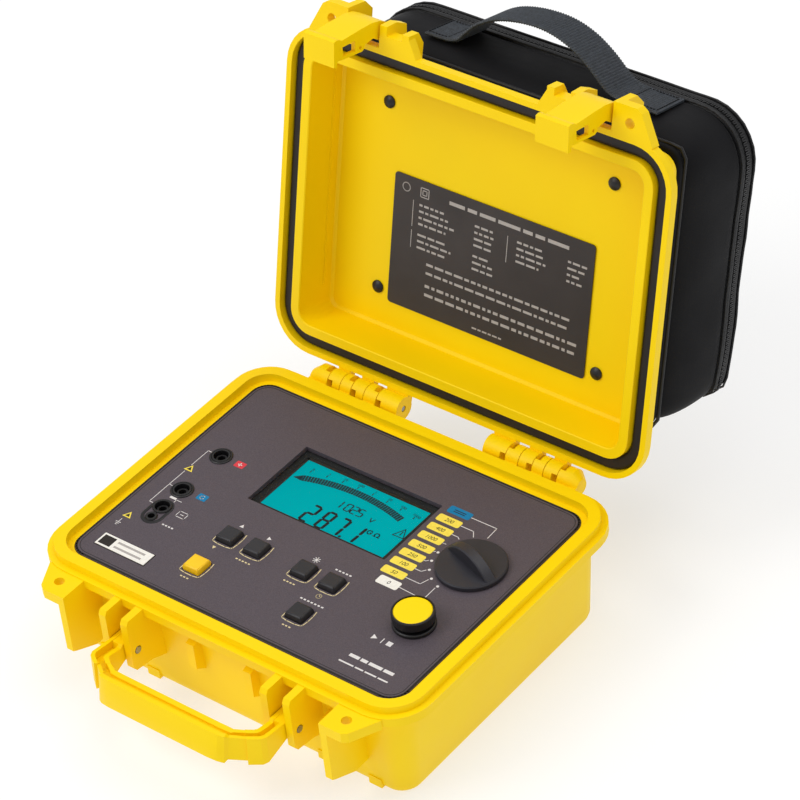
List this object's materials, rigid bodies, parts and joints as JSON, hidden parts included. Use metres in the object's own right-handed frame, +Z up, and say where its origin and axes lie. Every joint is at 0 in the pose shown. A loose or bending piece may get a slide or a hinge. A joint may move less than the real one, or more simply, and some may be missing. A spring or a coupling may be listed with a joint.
{
  "type": "insulation resistance tester",
  "caption": "High-voltage insulation resistance tester in a moulded carrying case, with a hinged latching lid, folding handle and an accessory bag riveted to the lid.",
  "frame": {"origin": "centre of the case's flat underside, on the table", "axes": "+X to the operator's right, -Y towards the operator and the handle, +Z up; the lid's hinge line runs along X at the back"},
  "size_m": [0.24, 0.3679, 0.2693],
  "materials": {
    "case_plastic": "moulded, satin",
    "black_plastic": "moulded, satin",
    "rubber": "moulded",
    "panel_plastic": "fine matt texture",
    "clear_plastic": "clear",
    "display_glass": "backlit",
    "white_plastic": "moulded",
    "label_plastic": "printed",
    "pin_steel": "drawn",
    "board": "laminate",
    "cell_jacket": "sleeved",
    "transformer_core": "laminated",
    "bag_fabric": "woven",
    "webbing": "ribbed webbing"
  },
  "bodies": {
    "base": {"base_shell": "case_plastic", "front_panel": "panel_plastic", "display_window": "clear_plastic", "display_frame": "black_plastic", "lcd_glass": "display_glass", "backlight": "white_plastic", "circuit_board": "board", "key_mat": "rubber", "rotary_switch": "black_plastic", "start_switch": "black_plastic", "start_collar": "black_plastic", "battery_tray": "black_plastic", "battery_cell_1": "cell_jacket", "battery_cell_2": "cell_jacket", "battery_cell_3": "cell_jacket", "battery_cell_4": "cell_jacket", "battery_cell_5": "cell_jacket", "battery_cell_6": "cell_jacket", "battery_cell_7": "cell_jacket", "battery_cell_8": "cell_jacket", "high_voltage_transformer": "transformer_core", "fuse_1": "white_plastic", "fuse_2": "white_plastic", "socket_plus": "black_plastic", "socket_guard": "black_plastic", "socket_minus": "black_plastic", "probe_socket": "black_plastic", "hinge_pin_left": "pin_steel", "hinge_pin_right": "pin_steel", "handle_pin_left": "pin_steel", "handle_pin_right": "pin_steel"},
    "lid": {"lid_shell": "case_plastic", "lid_gasket": "rubber", "label_plate": "label_plastic", "bag_rivet_1": "black_plastic", "bag_rivet_2": "black_plastic", "bag_rivet_3": "black_plastic", "bag_rivet_4": "black_plastic", "bag_pad": "bag_fabric", "bag_body": "bag_fabric", "bag_zip": "webbing", "bag_cover": "bag_fabric", "zip_pull": "black_plastic", "carry_strap": "webbing", "latch_pin_left": "pin_steel", "latch_pin_right": "pin_steel"},
    "handle": {"handle": "case_plastic"},
    "latch_left": {"latch_left": "case_plastic"},
    "latch_right": {"latch_right": "case_plastic"},
    "selector_knob": {"selector_knob": "black_plastic"},
    "start_button": {"start_button": "case_plastic"},
    "key_shift": {"key_shift": "case_plastic"},
    "key_up": {"key_up": "black_plastic"},
    "key_right": {"key_right": "black_plastic"},
    "key_light": {"key_light": "black_plastic"},
    "key_time": {"key_time": "black_plastic"},
    "key_ratio": {"key_ratio": "black_plastic"}
  },
  "joints": [
    {"name": "lid_hinge", "type": "hinge", "parent": "base", "child": "lid", "pos_m": [0, 0.1003, 0.061], "axis": [1, 0, 0], "range_deg": [0, 104]},
    {"name": "latch_left_pivot", "type": "hinge", "parent": "lid", "child": "latch_left", "pos_m": [-0.07165, 0.15701, 0.25123], "axis": [1, 0, 0], "range_deg": [-100, 8]},
    {"name": "latch_right_pivot", "type": "hinge", "parent": "lid", "child": "latch_right", "pos_m": [0.07165, 0.15701, 0.25123], "axis": [1, 0, 0], "range_deg": [-100, 8]},
    {"name": "handle_pivot", "type": "hinge", "parent": "base", "child": "handle", "pos_m": [0, -0.1005, 0.0405], "axis": [1, 0, 0], "range_deg": [-8, 90]},
    {"name": "knob_turn", "type": "hinge", "parent": "base", "child": "selector_knob", "pos_m": [0.0782, 0.0183, 0.0625], "axis": [0, 0, 1], "range_deg": [-55, 92]},
    {"name": "start_press", "type": "slide", "parent": "base", "child": "start_button", "axis": [0, 0, -1], "range_m": [0, 0.0022], "stiffness_N_per_m": 800, "springref_m": -0.002},
    {"name": "key_shift_press", "type": "slide", "parent": "base", "child": "key_shift", "axis": [0, 0, -1], "range_m": [0, 0.001], "stiffness_N_per_m": 500, "springref_m": -0.001},
    {"name": "key_up_press", "type": "slide", "parent": "base", "child": "key_up", "axis": [0, 0, -1], "range_m": [0, 0.001], "stiffness_N_per_m": 500, "springref_m": -0.001},
    {"name": "key_right_press", "type": "slide", "parent": "base", "child": "key_right", "axis": [0, 0, -1], "range_m": [0, 0.001], "stiffness_N_per_m": 500, "springref_m": -0.001},
    {"name": "key_light_press", "type": "slide", "parent": "base", "child": "key_light", "axis": [0, 0, -1], "range_m": [0, 0.001], "stiffness_N_per_m": 500, "springref_m": -0.001},
    {"name": "key_time_press", "type": "slide", "parent": "base", "child": "key_time", "axis": [0, 0, -1], "range_m": [0, 0.001], "stiffness_N_per_m": 500, "springref_m": -0.001},
    {"name": "key_ratio_press", "type": "slide", "parent": "base", "child": "key_ratio", "axis": [0, 0, -1], "range_m": [0, 0.001], "stiffness_N_per_m": 500, "springref_m": -0.001}
  ]
}
